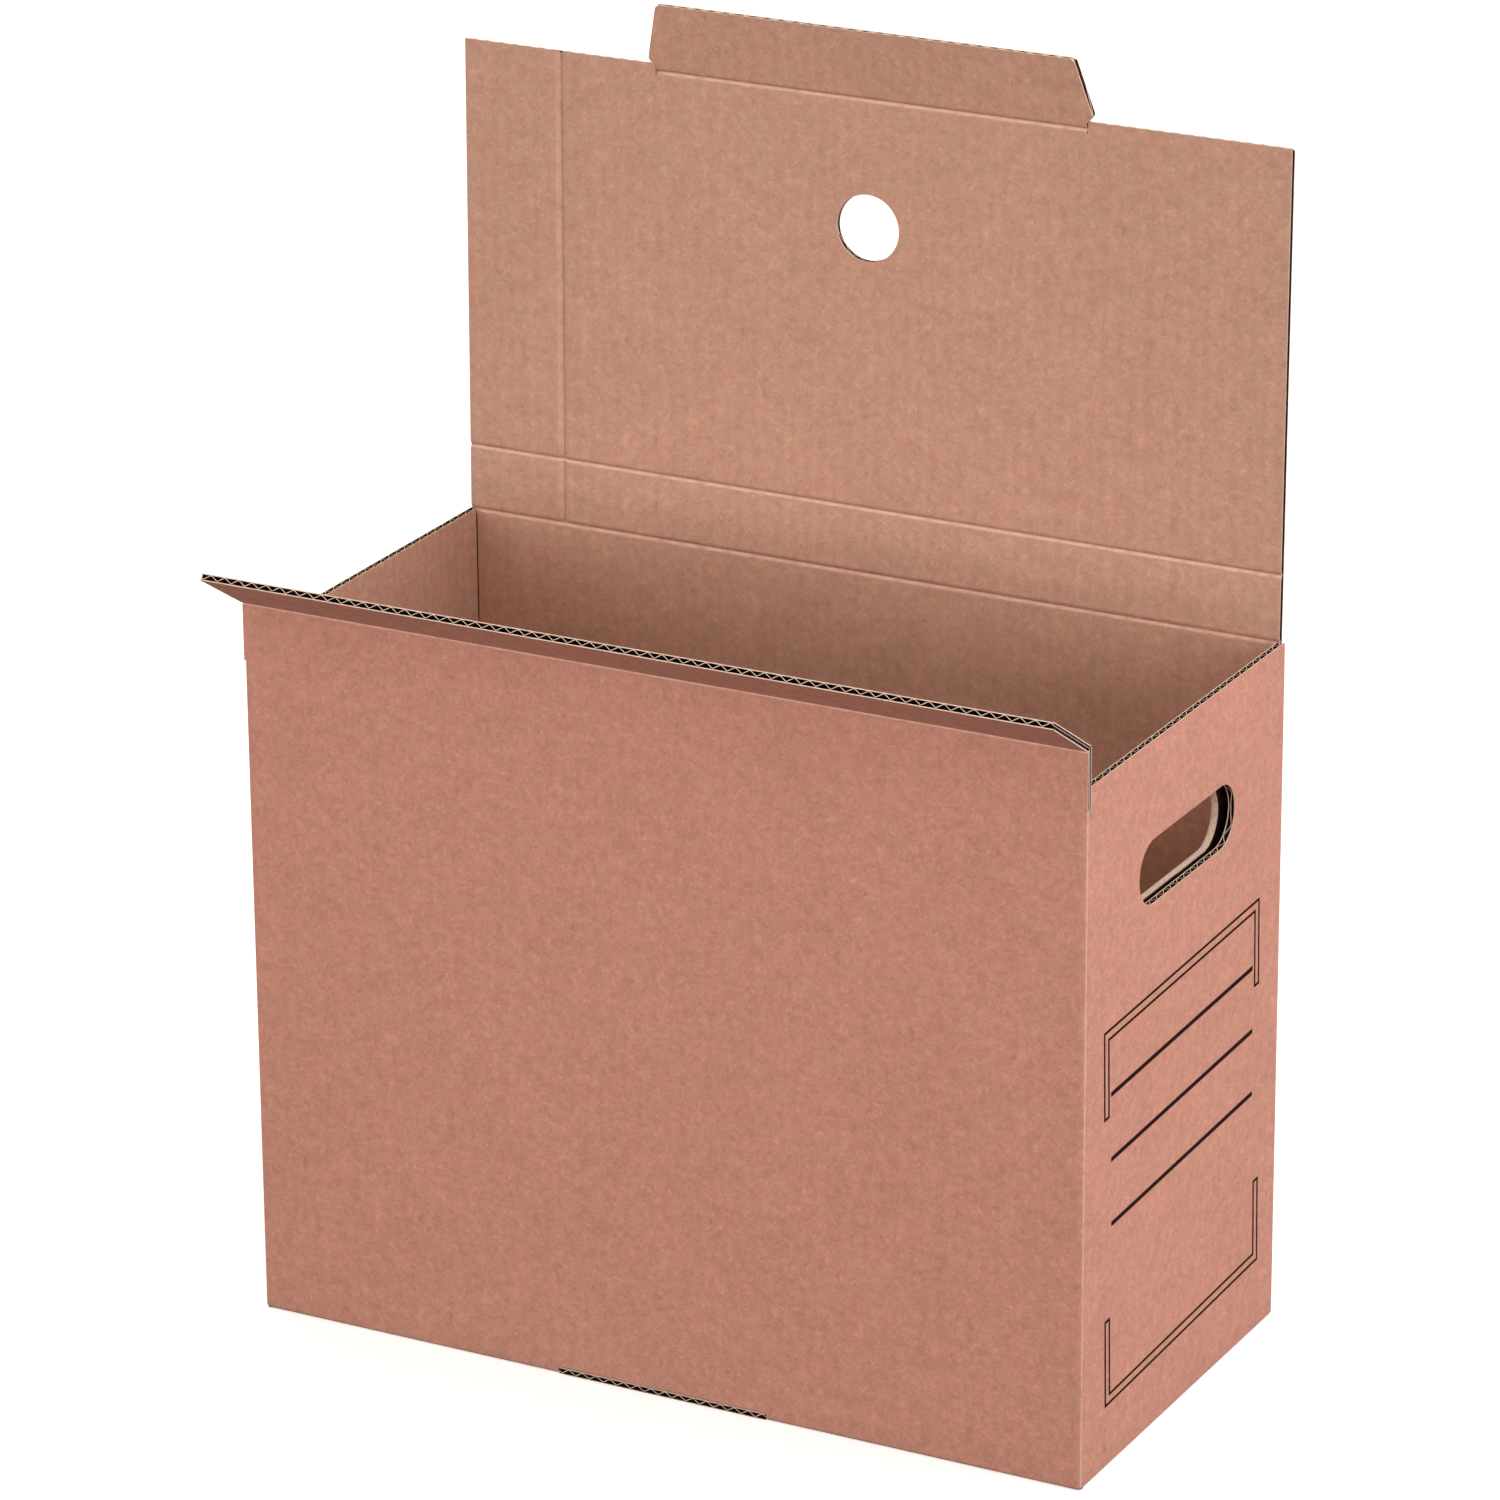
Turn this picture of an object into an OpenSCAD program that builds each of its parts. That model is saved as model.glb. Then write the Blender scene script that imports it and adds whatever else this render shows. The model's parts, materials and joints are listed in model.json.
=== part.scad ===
// Open box of corrugated board, folded from one sheet: a tall narrow body, a hinged lid with a
// relief strip and a tuck tab, and a short flap on the front wall. Millimetres, +Z up, front at -Y.
// The origin is the centre of the underside.

/* [Box] */
// Outside width, along the front wall
box_w = 380; // [300:5:450]
// Outside depth, from the front wall to the back wall
box_d = 188; // [160:2:260]
// Height of the side walls, level with the crease above the back wall
side_h = 300; // [240:5:360]
// How far the front wall stands above the side walls
front_rise = 16; // [10:1:30]
// Outside radius of the folded upright corners
corner_r = 2.5; // [1.5:0.5:3.5]
// Depth of the slits that part the side walls from the front wall at the top
slit_depth = 9.5; // [4:0.5:20]
// Width of those slits
slit_w = 0.6; // [0.4:0.1:1.5]

/* [Board] */
// Thickness of the corrugated board
board = 3; // [2.5:0.1:4]
// Thickness of a paper liner at a cut edge
liner = 0.35; // [0.25:0.05:0.5]
// Spacing of the flutes
flute_pitch = 6.44; // [5:0.1:8]
// Width of the fluted paper between two hollows, measured along the board
flute_web = 0.6; // [0.4:0.05:0.9]
// How deep the hollows are cut in at a visible edge
flute_depth = 4; // [2:0.5:8]
// Gap beside each crease, which lets the panel turn
crease_gap = 0.5; // [0.3:0.1:0.8]

/* [Lid] */
// Height of the strip between the two creases above the back wall
strip_h = 28.5; // [20:0.5:40]
// Height of the lid from the upper crease to its free edge
lid_h = 178; // [150:1:182]
// How far the lid leans back, in degrees
lid_lean = 0.8; // [0:0.1:3]
// Distance of the embossed upright crease from the lid's left edge
emboss_x = 46; // [25:1:90]
// Width of that crease
emboss_w = 1.6; // [1:0.1:3]
// Depth of that crease
emboss_depth = 0.5; // [0.2:0.1:0.8]
// Radius of the finger hole
finger_r = 14.25; // [10:0.25:20]
// Distance of the finger hole's centre from the lid's free edge
finger_drop = 57.5; // [40:0.5:90]

/* [Tuck tab] */
// Length of the tab from its crease
tab_len = 31; // [20:1:45]
// Width of the tab at its crease
tab_root_w = 196.5; // [120:0.5:240]
// Width of the tab just above the lid's edge
tab_wide_w = 203; // [125:0.5:250]
// Width of the tab at its free edge
tab_tip_w = 190; // [110:0.5:240]
// Corner radius at the tab's free edge
tab_corner_r = 3; // [1:0.5:6]
// How far the tab's crease lies below the lid's free edge
tab_inset = 3; // [2:0.5:5]
// Height above its crease at which the tab starts to widen
tab_flare_z = 4; // [3.5:0.1:6]
// Gap at each end of the tab's crease
tab_slit = 1.2; // [0.6:0.1:2]
// How far the tab leans forward from the lid, in degrees
tab_lean = 13; // [0:1:40]

/* [Front flap] */
// Length of the flap from its crease
flap_len = 38; // [25:1:60]
// How far the flap leans outward from upright, in degrees
flap_lean = 58; // [40:1:80]

/* [Hand hole] */
// Length of the hand hole
grip_len = 91; // [70:1:120]
// Height of the hand hole
grip_h = 27.5; // [22:0.5:36]
// Distance of its centre below the side wall's top edge
grip_drop = 55.5; // [40:0.5:90]

/* [Inner right panel] */
// Air gap between the outer right wall and the panel folded behind it
inner_gap = 4.5; // [1:0.5:8]
// How far the inner panel's top lies below the side wall's top
inner_drop = 7; // [4:0.5:20]
// Clearance between the inner panel and the front wall
inner_clear = 0.6; // [0.4:0.1:3]

/* [Bottom] */
// Width of the tongue that shows in the foot of the front wall
tongue_w = 97; // [60:1:140]
// Clearance around the tongue
tongue_gap = 0.4; // [0.3:0.1:1]
// Width of the seams on the underside
seam_w = 0.8; // [0.5:0.1:1.5]
// Depth of the seams on the underside
seam_depth = 0.8; // [0.3:0.1:1.5]

/* [Printed field] */
// Clear margin between the field and each upright edge of the right wall
field_margin = 19.5; // [12:0.5:35]
// Height of the field's lower line above the floor
field_z = 28.5; // [20:0.5:50]
// Height of the field
field_h = 164.5; // [120:0.5:180]
// Length of the four bracket legs
leg_h = 38.5; // [20:0.5:50]
// Width of the band that the double lines enclose
band_w = 2.4; // [1.5:0.1:4]
// Width of the thin lines
thin_line = 0.5; // [0.3:0.1:1]
// Width of the writing lines
thick_line = 1.1; // [0.8:0.1:2]
// Number of writing lines
line_count = 3; // [1:1:4]
// Spacing of the writing lines
line_pitch = 28.25; // [15:0.25:32]
// Distance of the top writing line below the field's upper line
line_drop = 29; // [15:0.5:40]
// Inset of the writing lines' ends from the field's outer lines
line_inset = 6.5; // [3.5:0.5:12]
// Thickness of the ink film
ink = 0.1; // [0.05:0.05:0.2]

/* [Hidden] */

kraft = [0.76, 0.53, 0.42];
kraft_lid = [0.72, 0.51, 0.40];
ink_black = [0.10, 0.07, 0.07];

half = board / 2;
trim = half + crease_gap;           // a neighbour stops this far short of a crease's axis
inner_w = box_w - 2 * board;
inner_d = box_d - 2 * board;
back_axis_y = box_d / 2 - half;     // mid-thickness of the back wall
front_axis_y = -back_axis_y;        // mid-thickness of the front wall
front_h = side_h + front_rise;      // height of the front wall's crease
tab_axis_z = lid_h - tab_inset;     // the tab's crease above the lid's lower crease
finger_z = lid_h - finger_drop;
grip_z = side_h - grip_drop;
panel_x = box_w / 2 - 2 * board - inner_gap;  // inner face of the reinforcing panel
cut = 1;                            // how far a cutting solid runs past a face
$fn = 48;

function arc(cx, cz, r, from, to, steps = 6) =
    [for (i = [0 : steps]) let (a = from + (to - from) * i / steps) [cx + r * cos(a), cz + r * sin(a)]];

// A flat panel cut from board, drawn in X and Z and centred on Y = 0
module sheet(outline) {
    rotate([90, 0, 0]) translate([0, 0, -half]) linear_extrude(board) polygon(outline);
}

// A plain rectangular panel that starts at its crease and ends short of the next one
module panel(width, height) {
    translate([-width / 2, -half, 0]) cube([width, board, height]);
}

// The rounded fold along a crease
module fold(width) {
    rotate([0, 90, 0]) cylinder(h = width, r = half, center = true);
}

// The hollows between liners and fluted paper, along X, cut down from an edge at Z = 0
module flutes(length) {
    count = floor(length / flute_pitch);
    base = flute_pitch / 2 - flute_web;
    face = half - liner;
    translate([0, 0, -flute_depth]) linear_extrude(flute_depth + cut) for (i = [0 : count - 1]) {
        x = (i - (count - 1) / 2) * flute_pitch;
        polygon([[x - base, face], [x, -face], [x + base, face]]);
        if (i < count - 1) translate([x + flute_pitch / 2, 0])
            polygon([[-base, -face], [base, -face], [0, face]]);
    }
}

// Places a panel of the lid or the flap: its crease's axis, then its lean
module at_back_crease() translate([0, back_axis_y, side_h]) rotate([-lid_lean, 0, 0]) children();
module at_lid_crease() at_back_crease() translate([0, 0, strip_h]) children();
module at_tab_crease() at_lid_crease() translate([0, 0, tab_axis_z]) rotate([tab_lean, 0, 0]) children();
module at_front_crease() translate([0, front_axis_y, front_h]) rotate([flap_lean, 0, 0]) children();

// A slot with round ends, along Y and cut through in X
module grip_slot(x, depth) {
    run = (grip_len - grip_h) / 2;
    translate([x, 0, grip_z]) rotate([90, 0, 90]) linear_extrude(depth) union() {
        square([2 * run, grip_h], center = true);
        for (side = [-1, 1]) translate([side * run, 0]) circle(d = grip_h);
    }
}

// Outline of the folded walls, seen from above
module wall_outline() {
    square([box_w - 2 * corner_r, box_d], center = true);
    square([box_w, box_d - 2 * corner_r], center = true);
    for (x = [-1, 1], y = [-1, 1])
        translate([x * (box_w / 2 - corner_r), y * (box_d / 2 - corner_r)]) circle(r = corner_r);
}

module walls() {
    difference() {
        linear_extrude(side_h) difference() {
            wall_outline();
            square([inner_w, inner_d], center = true);
        }
        // room for the lid's first fold
        translate([-box_w / 2 - cut, back_axis_y - trim, side_h - trim])
            cube([box_w + 2 * cut, board + trim, trim + cut]);
        // slits at the top of the two front corners
        for (side = [-1, 1])
            translate([side * (box_w / 2 - half) - half - cut / 2, -box_d / 2 + board, side_h - slit_depth])
                cube([board + cut, slit_w, slit_depth + cut]);
    }
    // the front wall's free upper part, square at both ends
    translate([-box_w / 2, -box_d / 2, side_h - slit_depth])
        cube([box_w, board, slit_depth + front_rise - trim]);
}

module inner_panel() {
    translate([panel_x, -inner_d / 2 + inner_clear, board])
        cube([board, inner_d - inner_clear, side_h - inner_drop - board]);
}

module bottom() {
    front_seam_w = inner_w / 2 - tongue_w / 2 + tongue_gap;
    difference() {
        translate([-inner_w / 2, -inner_d / 2, 0]) cube([inner_w, inner_d, board]);
        for (side = [-1, 1]) {
            translate([side * (inner_w - seam_w) / 2, 0, (seam_depth - cut) / 2])
                cube([seam_w, inner_d, seam_depth + cut], center = true);
            translate([side * (inner_w - front_seam_w) / 2, (seam_w - inner_d) / 2, (seam_depth - cut) / 2])
                cube([front_seam_w, seam_w, seam_depth + cut], center = true);
        }
    }
}

// The bottom's tongue, which reaches the front wall's outer face in a notch
module tongue() {
    difference() {
        translate([-tongue_w / 2 + tongue_gap, -box_d / 2, 0])
            cube([tongue_w - 2 * tongue_gap, board + cut, board]);
        translate([0, -box_d / 2, half]) rotate([90, 0, 0]) flutes(tongue_w - 2 * board);
    }
}

module box_body() {
    right_axis_x = box_w / 2 - half;
    edge_run = inner_d - 2 * board;
    color(kraft) {
        difference() {
            union() {
                difference() {
                    walls();
                    translate([-tongue_w / 2, -box_d / 2 - cut, -cut])
                        cube([tongue_w, board + cut, board + cut + tongue_gap]);
                }
                inner_panel();
                bottom();
            }
            grip_slot(panel_x - cut, box_w / 2 - panel_x + 2 * cut);
            for (side = [-1, 1])
                translate([side * right_axis_x, 0, side_h]) rotate([0, 0, 90]) flutes(edge_run);
            translate([panel_x + half, 0, side_h - inner_drop]) rotate([0, 0, 90]) flutes(edge_run);
            translate([right_axis_x, 0, grip_z - grip_h / 2]) rotate([0, 0, 90])
                flutes(grip_len - grip_h);
        }
        tongue();
    }
}

// A V groove in the front face of the lid, where the board was embossed
module emboss(height) {
    translate([-box_w / 2 + emboss_x, -half, -cut]) linear_extrude(height + 2 * cut)
        polygon([[-emboss_w / 2, 0], [0, emboss_depth], [emboss_w / 2, 0], [0, -cut]]);
}

module lid_strip() {
    color(kraft_lid) at_back_crease() difference() {
        union() {
            fold(box_w);
            panel(box_w, strip_h - trim);
        }
        emboss(strip_h);
    }
}

module lid_panel() {
    color(kraft_lid) at_lid_crease() difference() {
        union() {
            fold(box_w);
            panel(box_w, lid_h);
        }
        emboss(lid_h);
        // room for the tab's fold, with a slit at each end
        translate([-tab_root_w / 2 - tab_slit, -board, tab_axis_z - trim])
            cube([tab_root_w + 2 * tab_slit, 2 * board, lid_h]);
        translate([0, 0, finger_z]) rotate([90, 0, 0]) cylinder(h = 2 * board, r = finger_r, center = true);
        side_run = (box_w - tab_wide_w) / 2;
        for (side = [-1, 1])
            translate([side * (box_w - side_run) / 2, 0, lid_h]) flutes(side_run - board);
    }
}

module lid_tab() {
    half_root = tab_root_w / 2;
    half_wide = tab_wide_w / 2;
    tip = tab_tip_w / 2 - tab_corner_r;
    side_angle = atan((half_wide - tab_tip_w / 2) / (tab_len - tab_flare_z));
    side = [[half_root, 0], [half_root, tab_flare_z - half], [half_wide, tab_flare_z + half]];
    right_edge = concat(side, arc(tip, tab_len - tab_corner_r, tab_corner_r, side_angle, 90));
    left_edge = [for (i = [len(right_edge) - 1 : -1 : 0]) [-right_edge[i][0], right_edge[i][1]]];
    color(kraft_lid) at_tab_crease() difference() {
        union() {
            fold(tab_root_w);
            sheet(concat(right_edge, left_edge));
        }
        translate([0, 0, tab_len]) flutes(tab_tip_w - 2 * tab_corner_r - board);
    }
}

module front_flap() {
    color(kraft) at_front_crease() difference() {
        union() {
            fold(box_w);
            panel(box_w, flap_len);
        }
        translate([0, 0, flap_len]) flutes(box_w);
    }
}

// One printed bar on the right wall, from its lower front corner
module bar(y, z, length, height) {
    translate([box_w / 2, y, z]) cube([ink, length, height]);
}

// A band with two legs, drawn as a thin outline and opening downward or upward
module bracket(field_w, opens_up) {
    legs_z = opens_up ? field_z : field_z + field_h - leg_h;
    span_z = opens_up ? field_z : field_z + field_h - thin_line;
    span_step = opens_up ? band_w : -band_w;
    end_z = opens_up ? field_z + leg_h - thin_line : legs_z;
    y0 = -field_w / 2;
    bar(y0, span_z, field_w, thin_line);
    bar(y0 + band_w, span_z + span_step, field_w - 2 * band_w, thin_line);
    for (y = [y0, -y0 - thin_line]) bar(y, legs_z, thin_line, leg_h);
    for (y = [y0 + band_w, -y0 - band_w - thin_line])
        bar(y, opens_up ? legs_z + band_w : legs_z, thin_line, leg_h - band_w);
    for (y = [y0, -y0 - band_w - thin_line]) bar(y, end_z, band_w + thin_line, thin_line);
}

module label_print() {
    field_w = box_d - 2 * field_margin;
    color(ink_black) {
        bracket(field_w, false);
        bracket(field_w, true);
        for (i = [0 : line_count - 1])
            bar(-field_w / 2 + line_inset, field_z + field_h - line_drop - i * line_pitch - thick_line / 2,
                field_w - 2 * line_inset, thick_line);
    }
}

box_body();
lid_strip();
lid_panel();
lid_tab();
front_flap();
label_print();
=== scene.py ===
# %% [markdown]
# # An open cardboard box, built the way a box maker builds it
# The real box is one sheet of corrugated board: two flat papers, called liners, with a wavy paper
# glued between them. It is cut flat, creased and folded. This lesson does the same in Blender. The
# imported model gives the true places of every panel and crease, and the cells below dress it with
# board that has real liners, real flutes and real folds.

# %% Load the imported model
import json
import math
from contextlib import contextmanager

import bpy
import numpy as np
from mathutils import Matrix, Vector


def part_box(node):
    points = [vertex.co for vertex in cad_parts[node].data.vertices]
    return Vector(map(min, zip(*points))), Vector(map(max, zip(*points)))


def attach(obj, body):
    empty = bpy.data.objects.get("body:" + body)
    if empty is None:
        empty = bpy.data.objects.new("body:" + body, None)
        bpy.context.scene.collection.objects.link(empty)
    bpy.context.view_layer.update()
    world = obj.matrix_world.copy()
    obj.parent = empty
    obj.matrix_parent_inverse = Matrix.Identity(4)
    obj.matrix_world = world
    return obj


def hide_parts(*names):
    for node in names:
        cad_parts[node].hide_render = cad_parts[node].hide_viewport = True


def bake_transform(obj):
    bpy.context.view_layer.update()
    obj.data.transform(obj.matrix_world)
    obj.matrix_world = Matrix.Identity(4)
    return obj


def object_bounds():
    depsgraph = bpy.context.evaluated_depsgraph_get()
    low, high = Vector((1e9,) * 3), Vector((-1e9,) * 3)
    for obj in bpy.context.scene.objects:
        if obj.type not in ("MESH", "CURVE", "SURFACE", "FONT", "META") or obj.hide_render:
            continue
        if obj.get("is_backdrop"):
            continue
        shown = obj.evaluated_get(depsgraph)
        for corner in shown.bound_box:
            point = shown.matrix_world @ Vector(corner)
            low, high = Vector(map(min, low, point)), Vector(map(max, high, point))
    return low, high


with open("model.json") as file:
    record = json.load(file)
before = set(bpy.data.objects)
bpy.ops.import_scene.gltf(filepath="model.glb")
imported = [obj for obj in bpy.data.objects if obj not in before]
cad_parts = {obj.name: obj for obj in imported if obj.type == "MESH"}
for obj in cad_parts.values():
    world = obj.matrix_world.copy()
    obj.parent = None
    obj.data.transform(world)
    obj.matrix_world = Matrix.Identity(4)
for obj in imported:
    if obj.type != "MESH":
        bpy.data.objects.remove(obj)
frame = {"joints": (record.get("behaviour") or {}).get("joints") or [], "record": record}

cad_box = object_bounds()
crease_at = {joint["name"]: Vector(joint["pos_m"]) for joint in frame["joints"]}
print("the box of the solids, in metres:", [[round(x, 4) for x in corner] for corner in cad_box])

# %% [markdown]
# ## Sizes
# Everything is in metres. The box's width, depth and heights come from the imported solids, so that
# the dressed box stays where the solids are. Only the board's own sizes are written here.

# %% Sizes of the board and of the box
MM = 0.001
BOARD = 3 * MM
LINER = 0.42 * MM
FLUTED_PAPER = 0.28 * MM
PITCH = 6.44 * MM
HALF = BOARD / 2

body_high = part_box("box_body")[1]
HALF_W = body_high.x
HALF_D = body_high.y
FRONT_TOP = body_high.z
SIDE_TOP = crease_at["lid_fold"].z
TRIM = crease_at["front_flap_fold"].z - FRONT_TOP
TINY = 0.02 * MM
print(f"board {BOARD / MM:g} mm thick, sides {SIDE_TOP / MM:.0f} mm high")
print(f"box {2 * HALF_W / MM:.0f} x {2 * HALF_D / MM:.0f} mm, front {FRONT_TOP / MM:.0f} mm high")

# %% [markdown]
# ## The camera
# The photograph looks at the front right corner from above, through a long lens. The angles and the
# distance below are those at which the solids' corners fall on the corners in the photograph.

# %% Camera
AIM = Vector((0, -10, 230)) * MM
AIM_RIGHT, AIM_UP = 1.457 * MM, -23.783 * MM
CAMERA_DISTANCE = 2931 * MM
LENS_LENGTH, SENSOR_WIDTH = 172.17, 36
TURNED, TIPPED, ROLLED = 28.002, 20.701, -0.391

turned, tipped, rolled = (math.radians(angle) for angle in (TURNED, TIPPED, ROLLED))
forward = Vector((
    -math.sin(turned) * math.cos(tipped),
    math.cos(turned) * math.cos(tipped),
    -math.sin(tipped),
))
level = Vector((math.cos(turned), math.sin(turned), 0))
upright = level.cross(forward)
right = math.cos(rolled) * level + math.sin(rolled) * upright
up = math.cos(rolled) * upright - math.sin(rolled) * level

lens = bpy.data.cameras.new("camera")
lens.lens = LENS_LENGTH
lens.sensor_width = SENSOR_WIDTH
lens.clip_end = 50
camera = bpy.data.objects.new("camera", lens)
bpy.context.scene.collection.objects.link(camera)
spot = AIM - AIM_RIGHT * right - AIM_UP * up - CAMERA_DISTANCE * forward
camera.matrix_world = Matrix.Translation(spot) @ Matrix((right, up, -forward)).transposed().to_4x4()
bpy.context.scene.camera = camera
print("the camera stands at", [round(x, 3) for x in spot])

# %% [markdown]
# ## Shader maths as Python
# A shader is a graph of nodes, which is slow to write link by link. The class below wraps one output
# socket, so that `1 - mask * 0.3` adds the Math nodes itself.

# %% Wires
class Wire:
    """One output of a node. Arithmetic on wires adds Math nodes."""

    def __init__(self, shader, socket):
        self.shader = shader
        self.socket = socket

    def maths(self, operation, first, second):
        return self.shader.node("ShaderNodeMath", {"operation": operation}, {0: first, 1: second})

    def __add__(self, other):
        return self.maths("ADD", self, other)

    def __sub__(self, other):
        return self.maths("SUBTRACT", self, other)

    def __rsub__(self, other):
        return self.maths("SUBTRACT", other, self)

    def __mul__(self, other):
        return self.maths("MULTIPLY", self, other)

    __radd__ = __add__
    __rmul__ = __mul__


print("wires can be added, subtracted and multiplied")

# %% [markdown]
# ## Every other node
# One method makes every other node: it takes the node's type, its settings and the values or wires for
# its sockets. The short methods after it name the nodes that this lesson uses most.

# %% Shaders
class Shader:
    """A graph of nodes, in a new material or in the tree that is given"""

    def __init__(self, name, tree=None):
        if tree is None:
            self.material = bpy.data.materials.new(name)
            self.material.use_nodes = True
            tree = self.material.node_tree
        self.tree = tree
        self.tree.nodes.clear()

    def node(self, kind, settings=None, sockets=None, output=0):
        """Adds a node and gives back one of its outputs as a wire"""
        made = self.tree.nodes.new(kind)
        for name, value in (settings or {}).items():
            setattr(made, name, value)
        for place, value in (sockets or {}).items():
            if isinstance(value, Wire):
                self.tree.links.new(value.socket, made.inputs[place])
            else:
                made.inputs[place].default_value = value
        return Wire(self, made.outputs[output]) if made.outputs else None

    def noise(self, where, scale, detail=2.0, distortion=0.0):
        sockets = {"Vector": where, "Scale": scale, "Detail": detail, "Distortion": distortion}
        return self.node("ShaderNodeTexNoise", {}, sockets)

    def blend_colours(self, share, first, second):
        sockets = {0: share, 6: first, 7: second}
        return self.node("ShaderNodeMix", {"data_type": "RGBA"}, sockets, output=2)

    def scaled(self, colour, factor):
        return self.node("ShaderNodeVectorMath", {"operation": "SCALE"}, {0: colour, "Scale": factor})

    def stretched(self, value, low, high, first=0.0, last=1.0):
        sockets = {"Value": value, "From Min": low, "From Max": high, "To Min": first, "To Max": last}
        return self.node("ShaderNodeMapRange", {}, sockets)

    def larger(self, first, second):
        return self.node("ShaderNodeMath", {"operation": "MAXIMUM"}, {0: first, 1: second})

    def ray_is(self, *kinds):
        """1 for rays of the kinds that are named, and 0 for all others"""
        outputs = self.node("ShaderNodeLightPath").socket.node.outputs
        found = Wire(self, outputs[kinds[0]])
        for kind in kinds[1:]:
            found = self.larger(found, Wire(self, outputs[kind]))
        return found

    def matt(self, colour, roughness, gloss, others=None):
        """Ends the material in a matt surface"""
        sockets = {"Base Color": colour, "Roughness": roughness, "Specular IOR Level": gloss}
        surface = self.node("ShaderNodeBsdfPrincipled", {}, {**sockets, **(others or {})})
        self.node("ShaderNodeOutputMaterial", {}, {"Surface": surface})
        return self.material


print("a shader can add noises, mix colours and ask what kind of ray it meets")

# %% [markdown]
# ## Kraft paper
# Kraft liner isn't one brown. It has soft clouds a few centimetres wide, a fine mottle of one to four
# millimetres, short curly marks, pale and dark, and now and then a dark speck. Each pattern is written
# in the sheet's own flat coordinates, kept in a UV map in metres, so it follows the paper round every
# fold. The first cell lists the patterns, each with how fine it is, how much detail it has and how far
# it is bent, and draws the curly marks.

# %% Patterns of kraft paper
FLAT_MAP = "flat_sheet"
# The attribute of pale marks: broken fibres at the folds, and painted highlights on the creases and the
# embossed line
WEAR_AND_HIGHLIGHT = "wear"
CLOUDS = (22, 2.0)
PATCHES = (130, 3.0, 0.6)
GRAIN = (360, 2.5, 1.2)
FINE_GRAIN = (1300, 2.0, 0.5)
WARMTH = (90, 3.0, 0.8)
SPECKS = (420, 1.0)
FRAYS = (160, 3.0)
PALE_CURLS = (230, 0.16)
DARK_CURLS = (240, 0.12)
CURL_BEND = 1.6
CURL_WIDTH = 0.05
# The pale colour of broken fibres at the folds and of the painted highlights on the creases and the embossed
# line
WORN_AND_LIT_COLOUR = (0.82, 0.56, 0.46, 1)


def curls(shader, where, scale, strength):
    """Short, thin marks where a bent noise crosses its middle value, and only here and there"""
    bent = shader.noise(where, scale, 1.0, CURL_BEND) - 0.5
    bent = shader.node("ShaderNodeMath", {"operation": "ABSOLUTE"}, {0: bent})
    line = shader.stretched(bent, 0.0, CURL_WIDTH, strength, 0.0)
    here_and_there = shader.stretched(shader.noise(where, scale, 2.0), 0.50, 0.58)
    return line * here_and_there


print("patterns, in spots to a metre:", CLOUDS[0], PATCHES[0], GRAIN[0], FINE_GRAIN[0])

# %% [markdown]
# ## Three kraft papers
# The outer liner is pinker and the inner one browner. Faint stripes at the flutes' spacing, where the
# liner is glued to the wavy paper, are a slight bump and a painted shade of the liner's ripples. Where
# the paper is folded hard its fibres break and turn pale, so an attribute marks the folds; on the
# creases and the embossed line it also paints highlights. The third paper is a paler copy of the inner
# liner for the panels below the lid: painted light that brightens the inside of the box.

# %% Kraft paper
def kraft(name, colour, blush, shade, stripes, mottle):
    """Kraft paper: its colour, a pinker and a darker variant, and how strongly flutes and mottle show"""
    shader = Shader(name)
    flat = shader.node("ShaderNodeUVMap", {"uv_map": FLAT_MAP})
    across = shader.node("ShaderNodeSeparateXYZ", {}, {0: flat})
    clouds = (shader.noise(flat, *CLOUDS) - 0.5) * 0.14
    patches = (shader.noise(flat, *PATCHES) - 0.5) * 0.30
    grain = (shader.noise(flat, *GRAIN) - 0.5) * mottle
    fine = (shader.noise(flat, *FINE_GRAIN) - 0.5) * (mottle * 0.4)
    pale_marks = curls(shader, flat, *PALE_CURLS)
    dark_marks = curls(shader, flat, *DARK_CURLS)
    # Flute stripes: a slight bump, and in the colour a painted shade of the liner's ripples
    wave = shader.node("ShaderNodeMath", {"operation": "SINE"}, {0: across * (2 * math.pi / PITCH)})
    light = 1 + clouds + patches + grain + fine + pale_marks - dark_marks + wave * stripes
    warm = shader.stretched(shader.noise(flat, *WARMTH), 0.38, 0.62)
    tint = shader.scaled(shader.blend_colours(warm, (*colour, 1), (*blush, 1)), light)
    specks = shader.stretched(shader.noise(flat, *SPECKS), 0.76, 0.82, 0.0, 0.4)
    tint = shader.blend_colours(specks, tint, (*shade, 1))
    # Pale where the attribute says: broken fibres at the folds, and painted highlights on the creases and
    # the embossed line
    worn_and_lit = shader.node("ShaderNodeAttribute", {"attribute_name": WEAR_AND_HIGHLIGHT}, {}, output=2)
    worn_and_lit = worn_and_lit * shader.stretched(shader.noise(flat, *FRAYS), 0.30, 0.55, 0.25, 0.8)
    tint = shader.blend_colours(worn_and_lit, tint, WORN_AND_LIT_COLOUR)
    height = grain + fine + pale_marks * 1.5 + wave * (stripes * 5)
    relief = shader.node("ShaderNodeBump", {}, {"Strength": 0.3, "Distance": 0.4 * MM, "Height": height})
    return shader.matt(tint, 0.82, 0.12, {"Normal": relief})


OUTER_SHADE, INNER_SHADE = (0.30, 0.13, 0.09), (0.28, 0.13, 0.09)
outer_kraft = kraft("outer_kraft", (0.583, 0.283, 0.203), (0.604, 0.274, 0.206), OUTER_SHADE, 0.008, 0.50)
inner_kraft = kraft("inner_kraft", (0.546, 0.313, 0.226), (0.558, 0.302, 0.220), INNER_SHADE, 0.016, 0.42)
# A paler copy of the inner liner: painted light for the panels inside the box and for the strip
pale_kraft = kraft("pale_kraft", (0.573, 0.338, 0.246), (0.586, 0.326, 0.240), INNER_SHADE, 0.016, 0.42)
print("papers:", outer_kraft.name, inner_kraft.name, pale_kraft.name)
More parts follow.
